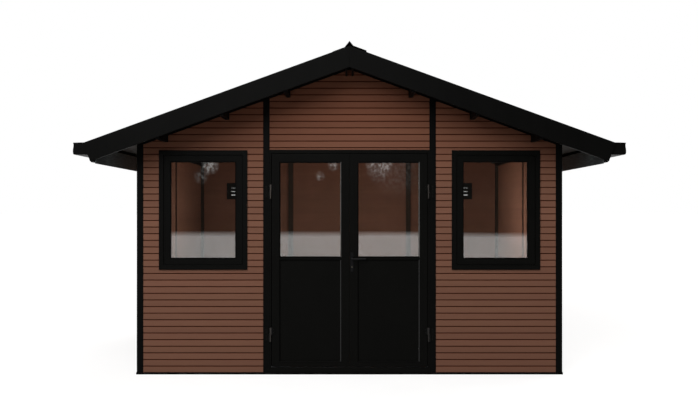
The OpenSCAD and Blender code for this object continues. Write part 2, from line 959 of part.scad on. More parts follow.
base_frame();
floor_bearers();
floor_deck();
corner_posts();
door_posts();
back_posts();
side_posts();
front_wall_left();
front_wall_right();
front_gable();
left_wall();
right_wall();
back_wall_left();
back_wall_middle();
back_wall_right();
vents();
gable_rail_front();
gable_rail_back();
wall_plates();
window_frames();
window_sashes();
window_glass();
door_frame();
hinge_pins();
door_leaf_left();
door_glass_left();
door_panel_left();
hinge_sleeves_left();
door_leaf_right();
door_glass_right();
door_panel_right();
hinge_sleeves_right();
handle_plates();
handle_lever();
ridge_boards();
purlins();
eave_boards();
roof_deck_left();
roof_deck_right();
roof_sheet_left();
roof_sheet_right();
ridge_cap();
verge_boards_front();
verge_boards_back();
gutter_left();
gutter_right();
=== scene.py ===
import math
import random

import bmesh
import bpy
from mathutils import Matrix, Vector


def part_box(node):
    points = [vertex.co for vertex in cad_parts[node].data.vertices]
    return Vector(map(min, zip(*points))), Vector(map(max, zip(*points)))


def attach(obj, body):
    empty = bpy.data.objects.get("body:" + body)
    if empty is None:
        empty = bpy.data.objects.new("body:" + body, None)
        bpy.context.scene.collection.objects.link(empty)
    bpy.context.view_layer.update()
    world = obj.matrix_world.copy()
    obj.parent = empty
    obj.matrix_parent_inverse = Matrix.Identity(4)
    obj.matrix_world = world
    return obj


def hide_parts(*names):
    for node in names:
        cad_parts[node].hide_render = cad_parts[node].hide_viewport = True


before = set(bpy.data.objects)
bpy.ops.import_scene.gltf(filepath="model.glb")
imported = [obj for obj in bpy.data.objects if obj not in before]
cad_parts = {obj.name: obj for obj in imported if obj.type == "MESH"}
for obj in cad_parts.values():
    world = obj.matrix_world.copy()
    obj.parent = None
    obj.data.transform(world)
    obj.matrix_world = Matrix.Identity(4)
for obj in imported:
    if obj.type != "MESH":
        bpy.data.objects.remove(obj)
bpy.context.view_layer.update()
random.seed(7)

# The looks of a garden shed: its planks, boards, glazing, small parts and coats, and the studio round it.
# X runs along the front, Y from the front to the back and Z up. Right is +X. Sizes are in metres.


# ---------------------------------------------------------------- sizes
def spans(node):
    """The (lowest, highest) x, y and z of a CAD node, to a hundredth of a millimetre."""
    return [(round(low, 5), round(high, 5)) for low, high in zip(*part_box(node))]


def inset(span, by):
    return span[0] + by, span[1] - by


def middle(span):
    return (span[0] + span[1]) / 2


SIDES = ((-1, "left"), (1, "right"))

# walls and floor
HALF_W, HALF_D = (span[1] for span in spans("corner_posts")[:2])
FACE_Y = -HALF_D  # the front face of the posts, the door leaves and the sashes
(WALL_IN_X, WALL_X), (_, BAY_Y), (_, WALL_H) = spans("right_wall")
WALL_T = WALL_X - WALL_IN_X
WALL_Y = spans("back_wall_middle")[1][1]
BASE_H = spans("base_frame")[2][1]
BAY_X = spans("front_wall_right")[0]  # from a door post to the corner post
STRIP_Y = spans("side_posts")[1][1]  # half the width of the posts in the middle of the side walls
(_, FLOOR_X), (_, FLOOR_Y), (FLOOR_UNDER, FLOOR_TOP) = spans("floor_deck")
FLOOR_GAP = 0.005  # round the posts
PLANK_PITCH, FIRST_JOINT = 0.06225, 0.0770  # from joint to joint, and the height of the lowest one
FIT = 0.0004  # the room between planks and what stands beside them

# roof
SLOPE = math.radians(20)
TAN, COS, SIN = math.tan(SLOPE), math.cos(SLOPE), math.sin(SLOPE)
SHEET_H, DECK_T, RAIL_H = 0.018, 0.020, 0.100  # square to the slope
LAYER_GAP = 0.0001
RIDGE_Z = WALL_H + TAN * HALF_W + (SHEET_H + DECK_T + RAIL_H) / COS
(_, EAVE_X), (_, ROOF_Y), _ = spans("eave_boards")
GUTTER_X = spans("gutter_right")[0]
GUTTER_T = 0.003
RIBS, RIB_PITCH = 20, 0.183  # of the roof sheets
SCREW_ROWS = (0.575, 1.15, 1.725, 2.29)  # how far the rows of roof screws lie from the ridge, along x
CAP_SCREW_X = 0.125
CAP_TOP = {-1: 0.0031, 1: 0.0131}  # height of the ridge cap's left and right wing above the sheets
LINING_X, LINING_Z = (2.272, 2.2808), (1.9610, 2.1120)
LINING_JOINT = 0.610  # how far from the middle the boards of the eave lining meet

# doors, windows and vents
# the inner side of the door posts, and the top of the door frame
DOOR_POST, DOOR_HEAD = spans("door_frame")[0][1], spans("door_frame")[2][1]
LEAF_X, (_, LEAF_BACK), LEAF_Z = spans("door_leaf_right")
GROOVE = 0.0097  # how deep panes and panels stand in their grooves
LIGHT_X = inset(spans("door_glass_right")[0], GROOVE)
GLASS_Z = inset(spans("door_glass_right")[2], GROOVE)
PANEL_Z = inset(spans("door_panel_right")[2], GROOVE)
WINDOW_X = middle(BAY_X)
WINDOW_HALF = spans("window_glass")[0][1] - GROOVE - WINDOW_X
WINDOW_Z = inset(spans("window_glass")[2], GROOVE)
SASH_BACK = spans("window_sashes")[1][1]
FLANGE_LAP = 0.012  # of the window frames over the wall
VENT_HALF = (spans("vents")[2][1] - spans("vents")[2][0]) / 2
VENT_X, VENT_Z = spans("vents")[0][1] - VENT_HALF, middle(spans("vents")[2])
VENT_LAP = 0.014  # of a vent over the wall
VENT_FLANGE = 0.006
SLOT_PITCH, SLOT_HALF_W, SLOT_HALF_H = 0.048, 0.053, 0.008  # of a vent's slots
BAFFLE_Y, NET_Y = (1.4835, 1.4850), (1.4715, 1.4725)

# hinges and handle
HINGE_H = 0.130
HINGES = inset(spans("hinge_pins")[2], HINGE_H / 2)
HINGE_X, HINGE_Y = LEAF_X[1] + 0.013, FACE_Y - 0.010
HINGE_PLATE_T = 0.005
PLATE_X, (PLATE_FRONT, PLATE_BACK), PLATE_Z = spans("handle_plates")


def roof_top(x):
    """The height of the roof sheets' upper side."""
    return RIDGE_Z - TAN * abs(x)


def rail_under(x):
    """The height of a gable rail's underside."""
    return roof_top(x) - (SHEET_H + DECK_T + RAIL_H) / COS


def under_x(z):
    """The x at which the underside of a gable rail has height z."""
    return (rail_under(0) - z) / TAN


# ---------------------------------------------------------------- materials
def lin(r, g, b):
    """A colour as the screen shows it, from 0 to 255, as the renderer wants it."""

    def one(c):
        c /= 255
        return c / 12.92 if c <= 0.04045 else ((c + 0.055) / 1.055) ** 2.4

    return one(r), one(g), one(b), 1.0


def scaled(colour, by):
    return tuple(min(1.0, c * by) for c in colour[:3]) + (1.0,)


def stretched(along, length, width):
    """The scale of a pattern that runs along x or y."""
    return (length, width, width) if along == "x" else (width, length, width)


class Nodes:
    """A material's node tree, with short names for the nodes used here."""

    def __init__(self, name):
        self.mat = bpy.data.materials.new(name)
        self.mat.use_nodes = True
        self.tree = self.mat.node_tree
        self.bsdf = self.tree.nodes["Principled BSDF"]
        self.out = self.tree.nodes["Material Output"]
        self.coord = self.add("ShaderNodeTexCoord").outputs["Object"]

    def add(self, kind):
        return self.tree.nodes.new(kind)

    def link(self, a, b):
        self.tree.links.new(a, b)

    def feed(self, socket, value):
        """Sets a socket to a number or a colour, or links it to another node's output."""
        if isinstance(value, (int, float, tuple)):
            socket.default_value = value
        else:
            self.link(value, socket)

    def noise(self, scale, detail, rough, stretch=(1, 1, 1)):
        mapping = self.add("ShaderNodeMapping")
        mapping.inputs["Scale"].default_value = stretch
        noise = self.add("ShaderNodeTexNoise")
        noise.inputs["Scale"].default_value = scale
        noise.inputs["Detail"].default_value = detail
        noise.inputs["Roughness"].default_value = rough
        self.link(self.coord, mapping.inputs["Vector"])
        self.link(mapping.outputs["Vector"], noise.inputs["Vector"])
        return noise.outputs["Fac"]

    def span(self, value, low, high, start=0.0, end=1.0):
        """Runs from start to end while value goes from low to high, and stays there outside."""
        node = self.add("ShaderNodeMapRange")
        for i, limit in zip((1, 2, 3, 4), (low, high, start, end)):
            node.inputs[i].default_value = limit
        self.link(value, node.inputs[0])
        return node.outputs[0]

    def math(self, operation, a, b):
        node = self.add("ShaderNodeMath")
        node.operation = operation
        self.feed(node.inputs[0], a)
        self.feed(node.inputs[1], b)
        return node.outputs[0]

    def both(self, a, b):
        """The product of two shares: 1 where both are 1."""
        return self.math("MULTIPLY", a, b)

    def mix(self, share, a, b, how="MIX"):
        node = self.add("ShaderNodeMix")
        node.data_type = "RGBA"
        node.blend_type = how
        self.feed(node.inputs[0], share)
        self.feed(node.inputs[6], a)
        self.feed(node.inputs[7], b)
        return node.outputs[2]

    def bump(self, height, strength, distance, before=None):
        node = self.add("ShaderNodeBump")
        node.inputs["Strength"].default_value = strength
        node.inputs["Distance"].default_value = distance
        self.link(height, node.inputs["Height"])
        if before is not None:
            self.link(before, node.inputs["Normal"])
        return node.outputs["Normal"]

    def part(self, vector, axis):
        """The x, y or z of a vector."""
        node = self.add("ShaderNodeSeparateXYZ")
        self.link(vector, node.inputs[0])
        return node.outputs["XYZ".index(axis)]

    def place(self, axis):
        return self.part(self.coord, axis)

    def facing(self, axis):
        """1 on faces that look along the axis, -1 on those that look against it."""
        return self.part(self.add("ShaderNodeNewGeometry").outputs["Normal"], axis)

    def tone(self):
        """The tone of the board that a face belongs to, from 0 to 1."""
        node = self.add("ShaderNodeAttribute")
        node.attribute_name = "tone"
        return node.outputs["Fac"]

    def blend(self, share, a, b):
        """Mixes two shaders and makes the result the material's surface."""
        node = self.add("ShaderNodeMixShader")
        self.link(share, node.inputs[0])
        self.link(a.outputs[0], node.inputs[1])
        self.link(b.outputs[0], node.inputs[2])
        self.link(node.outputs[0], self.out.inputs["Surface"])

    def finish(self, colour, rough, spec, normal=None):
        self.feed(self.bsdf.inputs["Base Color"], colour)
        self.feed(self.bsdf.inputs["Roughness"], rough)
        self.bsdf.inputs["Specular IOR Level"].default_value = spec
        if normal is not None:
            self.link(normal, self.bsdf.inputs["Normal"])
        return self.mat


def composite(name, rgb, along, darker=1.0, spec=0.12):
    """Wood composite: a ground colour for each plank, with streaks and pores along it."""
    n = Nodes(name)
    red, green, blue, _ = lin(*rgb)
    ground = scaled((red, green * 0.985, blue * 0.965), darker)
    pale = (ground[0] * 1.08, ground[1] * 1.18, ground[2] * 1.1, 1)
    thin, wide = stretched(along, 0.6, 14), stretched(along, 0.25, 3)
    streak = n.noise(9, 6, 0.6, thin)
    cloud = n.noise(2.2, 3, 0.55, wide)
    fine = n.noise(40, 3, 0.6, thin)
    colour = n.mix(n.tone(), scaled(ground, 0.93), scaled(ground, 1.07))
    colour = n.mix(n.span(streak, 0.3, 0.7, 0.0, 0.22), colour, scaled(ground, 0.72))
    colour = n.mix(n.span(cloud, 0.45, 0.75, 0.0, 0.35), colour, pale)
    colour = n.mix(n.span(fine, 0.55, 0.8, 0.0, 0.18), colour, scaled(ground, 0.6))
    # the lowest planks are darker towards the bottom, and under the eaves a darker, redder tint is painted
    # shade where the roof's overhang shades the wall
    colour = n.mix(n.span(n.place("Z"), 0.02, 0.30, 0.20, 0.0), colour, scaled(ground, 0.75))
    colour = n.mix(n.span(n.place("Z"), 1.75, 2.45), colour, (0.95, 0.79, 0.69, 1), "MULTIPLY")
    normal = n.bump(streak, 0.25, 0.0012, n.bump(fine, 0.35, 0.0006))
    return n.finish(colour, n.span(streak, 0.2, 0.8, 0.72, 0.88), spec, normal)


def painted_room_light_mask(n):
    """Where room light is painted: 1 on faces that look into the room from its back wall."""
    behind = n.span(n.place("Y"), HALF_D - 0.3, HALF_D - 0.2)
    within = n.span(n.place("Y"), HALF_D - 0.01, HALF_D, 1.0, 0.0)
    return n.both(n.both(behind, within), n.span(n.facing("Y"), -0.9, -0.5, 1.0, 0.0))


def knuckle_highlight_mask(n):
    """Where a highlight is painted: 1 on the leaf's side of the left upper hinge's knuckle, and less on
    that side of the other three.
    """
    off = n.math("ABSOLUTE", n.place("X"), 0)
    begun = n.span(off, HINGE_X - 0.0105, HINGE_X - 0.0095)
    ended = n.span(off, HINGE_X - 0.0010, HINGE_X, 1.0, 0.0)
    upper = n.span(n.place("Z"), 0.9, 1.2, 0.55, 1.0)
    left = n.span(n.place("X"), -0.1, 0.1, 1.0, 0.4)
    return n.both(n.both(begun, ended), n.both(upper, left))


def powder(name, rgb, rough, spec, grain, dust, inside=None, painted_highlight=None):
    """Powder-coated metal: faint clouds, a fine skin and a little dust on what looks up.

    With an inside colour, the faces that look into the room from its back wall have that colour, painted
    light from the lit room on the black metal.
    With a highlight colour, the leaf's side of each hinge knuckle has it: a painted highlight."""
    n = Nodes(name)
    ground = lin(*rgb)
    skin = n.noise(420, 2, 0.5)
    smear = n.noise(11, 4, 0.65, (1, 1, 0.3))
    colour = n.mix(n.span(n.noise(3.0, 4, 0.6), 0.3, 0.7), scaled(ground, 0.88), scaled(ground, 1.12))
    # painted light: black faces that look into the room are painted brown, standing in for the lit room
    if inside:
        clouds = n.mix(n.span(smear, 0.3, 0.7), scaled(lin(*inside), 0.85), scaled(lin(*inside), 1.15))
        colour = n.mix(painted_room_light_mask(n), colour, clouds)
    # painted highlight: a pale strip on each hinge knuckle, brightest on the upper left one
    if painted_highlight:
        colour = n.mix(knuckle_highlight_mask(n), colour, lin(*painted_highlight))
    upward = n.span(n.facing("Z"), 0.3, 0.95)
    colour = n.mix(n.both(upward, n.span(smear, 0.35, 0.7, dust * 0.4, dust)), colour, lin(96, 92, 84))
    low = n.span(n.place("Z"), 0.0, 0.22, dust * 0.25, 0.0)
    colour = n.mix(n.both(low, n.span(smear, 0.4, 0.75)), colour, lin(88, 80, 70))
    roughness = n.span(smear, 0.3, 0.75, rough - 0.04, rough + 0.09)
    return n.finish(colour, roughness, spec, n.bump(skin, grain, 0.0004))


def timber(name, rgb):
    """Plain wood with long grain along x."""
    n = Nodes(name)
    ground = lin(*rgb)
    grain = n.noise(12, 8, 0.65, stretched("x", 0.8, 12))
    pores = n.noise(60, 3, 0.6, stretched("x", 0.8, 12))
    colour = n.mix(n.tone(), scaled(ground, 0.85), scaled(ground, 1.15))
    colour = n.mix(n.span(grain, 0.35, 0.7, 0.0, 0.5), colour, scaled(ground, 0.6))
    colour = n.mix(n.span(pores, 0.6, 0.8, 0.0, 0.3), colour, scaled(ground, 0.45))
    return n.finish(colour, n.span(grain, 0.2, 0.8, 0.62, 0.85), 0.3, n.bump(grain, 0.3, 0.001))


def boards_with_painted_light(name, ends, centre):
    """Painted boards along y, paler at the centre of the shed than at their ends, which is painted light.
    """
    n = Nodes(name)
    grain = n.noise(12, 8, 0.65, stretched("y", 0.8, 12))
    off = n.math("ADD", n.math("ABSOLUTE", n.place("Y"), 0), n.span(grain, 0.3, 0.7, -0.15, 0.15))
    # painted light: paler towards the centre of the shed
    colour = n.mix(n.span(off, 0.45, 1.7), lin(*centre), lin(*ends))
    colour = n.mix(n.span(grain, 0.4, 0.75, 0.0, 0.3), colour, scaled(lin(*ends), 0.6))
    colour = n.mix(n.span(n.tone(), 0, 1, 0.0, 0.12), colour, lin(*ends))
    return n.finish(colour, n.span(grain, 0.2, 0.8, 0.6, 0.8), 0.3, n.bump(grain, 0.2, 0.0006))


def rubber(name, rgb):
    n = Nodes(name)
    speck = n.noise(180, 3, 0.6)
    colour = n.mix(n.span(speck, 0.3, 0.7), scaled(lin(*rgb), 0.8), scaled(lin(*rgb), 1.25))
    return n.finish(colour, n.span(speck, 0.2, 0.8, 0.7, 0.9), 0.15, n.bump(speck, 0.1, 0.0003))


def bright_metal(name, rgb):
    """Bare metal, brushed along z."""
    n = Nodes(name)
    brushed = n.noise(60, 4, 0.6, (1, 1, 6))
    cloud = n.noise(14, 3, 0.5)
    colour = n.mix(n.span(cloud, 0.3, 0.7), scaled(lin(*rgb), 0.85), scaled(lin(*rgb), 1.1))
    n.bsdf.inputs["Metallic"].default_value = 1.0
    return n.finish(colour, n.span(brushed, 0.2, 0.8, 0.30, 0.47), 0.5, n.bump(brushed, 0.08, 0.0002))


def clear_glass(name):
    """Glass that lets the lamps through: a shadow ray passes it as if it weren't there."""
    n = Nodes(name)
    n.bsdf.inputs["Transmission Weight"].default_value = 1.0
    n.bsdf.inputs["IOR"].default_value = 1.62
    haze = n.noise(5, 3, 0.5)
    colour = n.mix(n.span(haze, 0.3, 0.7), (0.93, 0.95, 0.94, 1), (0.98, 0.985, 0.98, 1))
    n.finish(colour, n.span(haze, 0.35, 0.8, 0.0, 0.012), 0.5)
    n.blend(ray_is(n.tree, "Is Shadow Ray"), n.bsdf, n.add("ShaderNodeBsdfTransparent"))
    return n.mat


def ray_is(tree, *names):
    """1 for a ray of any of the kinds named."""
    path = tree.nodes.new("ShaderNodeLightPath")
    total = path.outputs[names[0]]
    for name in names[1:]:
        node = tree.nodes.new("ShaderNodeMath")
        node.operation = "MAXIMUM"
        tree.links.new(total, node.inputs[0])
        tree.links.new(path.outputs[name], node.inputs[1])
        total = node.outputs[0]
    return total


PLANK_RGB = (108, 75, 61)
# the chamfers' and joints' darker, redder colours are partly the joints' own dark and partly painted shade
# and bounce light in the grooves
EDGE_AND_SHADE_RGB = (90, 50, 33)
JOINT_AND_SHADE_RGB = (42, 15, 7)
FLOOR_RGB = (104, 84, 70)
LOOKS = {
    "plank_x": composite("plank_x", PLANK_RGB, "x"),
    "plank_y": composite("plank_y", PLANK_RGB, "y"),
    "edge_x": composite("edge_x", EDGE_AND_SHADE_RGB, "x"),
    "edge_y": composite("edge_y", EDGE_AND_SHADE_RGB, "y"),
    "joint_x": composite("joint_x", JOINT_AND_SHADE_RGB, "x", spec=0.05),
    "joint_y": composite("joint_y", JOINT_AND_SHADE_RGB, "y", spec=0.05),
    "seam_x": composite("seam_x", PLANK_RGB, "x", darker=0.7),
    "seam_y": composite("seam_y", PLANK_RGB, "y", darker=0.7),
    # name, colour, roughness, specular level, depth of the skin, dust
    # the frame coat's inside colour is painted light from the lit room
    "frame": powder("frame_coat", (7, 7, 6.5), 0.45, 0.030, 0.05, 0.02, inside=(51, 42, 35)),
    "door": powder("door_coat", (7, 7, 6), 0.42, 0.035, 0.03, 0.01),
    "sheet": powder("sheet_coat", (7.5, 7.5, 7), 0.42, 0.03, 0.06, 0.03),
    "vent": powder("vent_coat", (26, 27, 25), 0.45, 0.10, 0.03, 0.02),
    # the hinge coat's pale knuckle colour is a painted highlight
    "hinge": powder("hinge_coat", (9, 9, 9), 0.24, 0.12, 0.02, 0.01, painted_highlight=(78, 73, 69)),
    "handle": powder("handle_coat", (9, 9, 10), 0.30, 0.09, 0.02, 0.01),
    # the beads' darker, duller copy is painted shade, and their pale copy a painted highlight
    "bead": powder("bead_coat", (7, 7, 6.5), 0.25, 0.30, 0.02, 0.01),
    "bead_shaded": powder("bead_shade", (6, 6, 5.5), 0.50, 0.02, 0.02, 0.01),
    "bead_highlight": powder("bead_highlight_coat", (60, 58, 56), 0.25, 0.45, 0.02, 0.01),
    "screw": powder("screw_coat", (10, 10, 10), 0.40, 0.10, 0.02, 0.01),
    "rubber": rubber("seal_rubber", (12, 12, 12)),
    "zinc": bright_metal("zinc_plate", (140, 142, 145)),
    "brass": bright_metal("key_barrel", (88, 84, 74)),
    "deck": timber("roof_boards", (68, 64, 59)),
    "deck_joint": timber("roof_joint", (34, 26, 21)),
    # the lining's pale grey and its paler middle are painted light on the eave boards' inner sides
    "lining": boards_with_painted_light("eave_lining", (57, 62, 63), (170, 181, 182)),
    "floor": composite("floor_boards", FLOOR_RGB, "x"),
    "floor_joint": composite("floor_joint", FLOOR_RGB, "x", darker=0.3, spec=0.1),
    "bearer": timber("bearers", (98, 84, 68)),
    "glass": clear_glass("clear_glass"),
}


# ---------------------------------------------------------------- meshes
class Shape:
    """Points and faces of one piece. A face's kind is its material's place in the piece's list of looks."""

    def __init__(self):
        self.points, self.faces, self.kinds, self.tones = [], [], [], []

    def add(self, points, faces, kinds=0, tone=0.5):
        """kinds is a list with a kind for each face, or one kind for them all."""
        base = len(self.points)
        self.points += [tuple(p) for p in points]
        for i, face in enumerate(faces):
            self.faces.append([base + k for k in face])
            self.kinds.append(kinds[i] if isinstance(kinds, list) else kinds)
            self.tones.append(tone)

    def prism(self, outline, place, a, b, kinds=0, tone=0.5):
        """outline's 2-D points drawn from a to b, each a number or a function of the point."""
        n = len(outline)
        ends = []
        for end in (a, b):
            ends += [place(end(p) if callable(end) else end, p) for p in outline]
        faces = [(i, (i + 1) % n, (i + 1) % n + n, i + n) for i in range(n)]
        caps = [tuple(range(n - 1, -1, -1)), tuple(range(n, 2 * n))]
        sides = kinds if isinstance(kinds, list) else [kinds] * n
        self.add(ends, faces + caps, sides + [0, 0], tone)

    def box(self, lo, hi, bevel=0.0, tone=0.5):
        """A box, with its long edges chamfered by bevel."""
        size = [hi[i] - lo[i] for i in range(3)]
        axis = size.index(max(size))
        p, q = [i for i in range(3) if i != axis]
        c = min(bevel, size[p] * 0.45, size[q] * 0.45)

        def place(u, point):
            out = [0, 0, 0]
            out[axis], out[p], out[q] = u, point[0], point[1]
            return out

        if c:
            outline = [
                (lo[p] + c, lo[q]), (hi[p] - c, lo[q]), (hi[p], lo[q] + c), (hi[p], hi[q] - c),
                (hi[p] - c, hi[q]), (lo[p] + c, hi[q]), (lo[p], hi[q] - c), (lo[p], lo[q] + c),
            ]
        else:
            outline = [(lo[p], lo[q]), (hi[p], lo[q]), (hi[p], hi[q]), (lo[p], hi[q])]
        self.prism(outline, place, lo[axis], hi[axis], 0, tone)

    def ring(self, x_span, z_span, profile, kinds=(0, 0, 0, 0)):
        """A mitred frame round an opening. profile is a closed line of (distance inwards, y), and kinds
        are those of the frame's bottom, right, top and left."""
        points, faces, own = [], [], []
        for by, y in profile:
            (x0, x1), (z0, z1) = inset(x_span, by), inset(z_span, by)
            points += [(x0, y, z0), (x1, y, z0), (x1, y, z1), (x0, y, z1)]
        for k in range(len(profile)):
            j = (k + 1) % len(profile)
            for s in range(4):
                t = (s + 1) % 4
                faces.append((4 * k + s, 4 * k + t, 4 * j + t, 4 * j + s))
                own.append(kinds[s])
        self.add(points, faces, own)

    def turned(self, centre, axis, profile, segments, kind=0):
        """A turned form: profile is (radius, distance along axis) from one end to the other."""
        axis = Vector(axis).normalized()
        side = axis.orthogonal().normalized()
        other = axis.cross(side)
        points, faces = [], []
        for radius, along in profile:
            for s in range(segments):
                turn = 2 * math.pi * s / segments
                spoke = side * math.cos(turn) + other * math.sin(turn)
                points.append(Vector(centre) + axis * along + spoke * radius)
        for row in range(0, (len(profile) - 1) * segments, segments):
            for s in range(segments):
                t = (s + 1) % segments
                faces.append((row + s, row + t, row + segments + t, row + segments + s))
        last = (len(profile) - 1) * segments
        faces.append(tuple(range(segments - 1, -1, -1)))
        faces.append(tuple(range(last, last + segments)))
        self.add(points, faces, kind)

    def screw(self, centre, out, r=0.0045):
        """The low pan head of a screw."""
        h = r * 0.55
        self.turned(centre, out, [(r, -0.0005), (r, h * 0.35), (r * 0.86, h * 0.8), (r * 0.55, h)], 12)

    def hex_screw(self, centre, out, r=0.006):
        """A hexagon head on its washer."""
        washer = [(r * 1.7, -0.0005), (r * 1.7, 0.0012), (r * 1.45, 0.0022), (r * 1.1, 0.0022)]
        self.turned(centre, out, washer, 16)
        self.turned(centre, out, [(r, 0.0020), (r, 0.0058), (r * 0.8, 0.0066)], 6)


def on_side(side, x_span, y_span, z_span):
    """The low and the high corner of a box on the right, or of its mirror image on the left."""
    x0, x1 = sorted((side * x_span[0], side * x_span[1]))
    return (x0, y_span[0], z_span[0]), (x1, y_span[1], z_span[1])


def made(name, shape, body, looks, replaces=()):
    """Makes a shape an object that rides on a body and stands for the CAD nodes in replaces."""
    mesh = bpy.data.meshes.new(name)
    mesh.from_pydata(shape.points, [], shape.faces)
    for i, kind in enumerate(shape.kinds):
        mesh.polygons[i].material_index = kind
    tone = mesh.attributes.new("tone", "FLOAT", "FACE")
    tone.data.foreach_set("value", shape.tones)
    bm = bmesh.new()
    bm.from_mesh(mesh)
    bmesh.ops.recalc_face_normals(bm, faces=bm.faces[:])
    bm.to_mesh(mesh)
    bm.free()
    for look in looks:
        mesh.materials.append(LOOKS[look])
    mesh.validate()
    obj = bpy.data.objects.new(name, mesh)
    bpy.context.scene.collection.objects.link(obj)
    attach(obj, body)
    if replaces:
        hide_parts(*replaces)
    return obj


# ---------------------------------------------------------------- planks and boards
FACE, JOINT, EDGE, SEAM = 0, 1, 2, 3  # kinds of a board's faces, in the order of its materials
SLIVER = 0.0008  # slices of a board that are less high are left out
# Half width, depth and chamfer of a groove
PLANK_GROOVE, INNER_GROOVE = (0.0034, 0.006, 0.0018), (0.0005, 0.0007, 0.0003)
DECK_GROOVE, FLOOR_GROOVE = (0.0015, 0.004, 0.002), (0.0022, 0.008, 0.0015)
DECK_PITCH, FLOOR_PITCH = 0.122, 0.142


def board_edge(za, zb, lo, hi, thick, near, half_groove, depth, chamfer):
    """One face of a grooved board from height lo to hi, as points (depth, height, kind of what follows)."""
    g, c = half_groove, chamfer
    line = [
        (depth, za, JOINT), (depth, za + g, JOINT), (c, za + g, EDGE), (0, za + g + c, FACE),
        (0, zb - g - c, EDGE), (c, zb - g, JOINT), (depth, zb - g, JOINT), (depth, zb, FACE),
    ]
    out = []
    for (n0, z0, kind), (n1, z1, _) in zip(line, line[1:]):
        if z1 - z0 < 1e-9:
            if lo < z0 < hi:
                out.append((n0, z0, kind))
            continue
        if z1 <= lo or z0 >= hi:
            continue
        share = (max(lo, z0) - z0) / (z1 - z0)
        out.append((n0 + (n1 - n0) * share, max(lo, z0), kind))
        last = (n0 + (n1 - n0) * (min(hi, z1) - z0) / (z1 - z0), min(hi, z1), FACE)
    out.append(last)
    return [(n if near else thick - n, z, kind) for n, z, kind in out]


def at_height(end):
    """A board's end for Shape.prism: a number, or a function of the outline's point."""
    return (lambda point: end(point[1])) if callable(end) else end


def boards(shape, bands, place, thick, pitch, first, front, back=None, inner=None):
    """Grooved boards over bands of (low, high, [(start, end), ...]), each a number or a function of height.

    front and back are the grooves of the near and the far face, and inner is the kind of the far ones."""
    back = back or front
    low = min(band[0] for band in bands)
    high = max(band[1] for band in bands)
    row = math.floor((low - first) / pitch)
    while first + row * pitch < high:
        za, zb = first + row * pitch, first + (row + 1) * pitch
        tone = random.random()
        for band_low, band_high, ends in bands:
            lo, hi = max(za, band_low), min(zb, band_high)
            if hi - lo < SLIVER:
                continue
            up = board_edge(za, zb, lo, hi, thick, True, *front)
            down = board_edge(za, zb, lo, hi, thick, False, *back)
            outline = [(n, z) for n, z, _ in up] + [(n, z) for n, z, _ in reversed(down)]
            far = [inner if kind and inner is not None else kind for _, _, kind in reversed(down[:-1])]
            kinds = [kind for _, _, kind in up[:-1]] + [FACE] + far + [FACE]
            for start, end in ends:
                shape.prism(outline, place, at_height(start), at_height(end), kinds, tone)
        row += 1


def gable_bay_bands(x_hole, z_hole):
    """The bay between a door post and a corner post, with its hole, as bands of height."""
    a, b = inset(BAY_X, FIT)
    (x0, x1), (z0, z1) = x_hole, z_hole
    low, high = rail_under(b), rail_under(a)
    return [
        (low, high, [(a, under_x)]), (BASE_H, z0, [(a, b)]),
        (z0, z1, [(a, x0), (x1, b)]), (z1, low, [(a, b)]),
    ]


def middle_bay_bands(bottom):
    """The bay between the door posts, or between the back posts, from bottom up."""
    a = DOOR_POST - FIT
    high = rail_under(a)
    return [(bottom, high, [(-a, a)]), (high, rail_under(0) - 0.001, [(lambda z: -under_x(z), under_x)])]


def along_x(side, y_face, inward):
    """Boards along x: their face lies at y_face, and their depth runs inward."""
    return lambda u, p: (side * u, y_face + inward * p[0], p[1])


def along_y(side):
    """Boards along y, in the left or the right wall."""
    return lambda u, p: (side * (WALL_X - p[0]), u, p[1])


def wall(name, bands, place, node, axis="x"):
    """The planks of one wall, grooved outside and nearly smooth inside."""
    shape = Shape()
    boards(shape, bands, place, WALL_T, PLANK_PITCH, FIRST_JOINT, PLANK_GROOVE, INNER_GROOVE, SEAM)
    looks = [kind + axis for kind in ("plank_", "joint_", "edge_", "seam_")]
    made(name, shape, "root", looks, [node])


def plank_walls():
    """The planks of all walls, cut out round the windows and the vents."""
    window_half = spans("window_frames")[0][1] - FLANGE_LAP - WINDOW_X
    window_hole = inset((WINDOW_X, WINDOW_X), -window_half), inset(spans("window_frames")[2], FLANGE_LAP)
    vent_hole = [inset((at, at), VENT_LAP - VENT_HALF) for at in (VENT_X, VENT_Z)]
    halves = [(FIT - BAY_Y, -STRIP_Y - FIT), (STRIP_Y + FIT, BAY_Y - FIT)]
    for side, word in SIDES:
        front, back = along_x(side, -WALL_Y, 1), along_x(side, WALL_Y, -1)
        wall("planks_front_" + word, gable_bay_bands(*window_hole), front, "front_wall_" + word)
        wall("planks_back_" + word, gable_bay_bands(*vent_hole), back, "back_wall_" + word)
        wall("planks_side_" + word, [(BASE_H, WALL_H - FIT, halves)], along_y(side), word + "_wall", "y")
    wall("planks_front_gable", middle_bay_bands(DOOR_HEAD + FIT), along_x(1, -WALL_Y, 1), "front_gable")
    wall("planks_back_middle", middle_bay_bands(BASE_H), along_x(1, WALL_Y, -1), "back_wall_middle")


def roof_boards():
    """The boards of the roof deck run down the slope, side by side along y."""
    bands = [(-ROOF_Y, ROOF_Y, [(0.0, EAVE_X)])]
    for side, word in SIDES:

        def place(u, p, side=side):
            return (side * u, p[1], roof_top(u) - (SHEET_H + LAYER_GAP + p[0]) / COS)

        shape = Shape()
        boards(shape, bands, place, DECK_T - 2 * LAYER_GAP, DECK_PITCH, 0.0, DECK_GROOVE)
        looks = ["deck", "deck_joint", "deck"]
        made("boards_roof_" + word, shape, "root", looks, ["roof_deck_" + word])


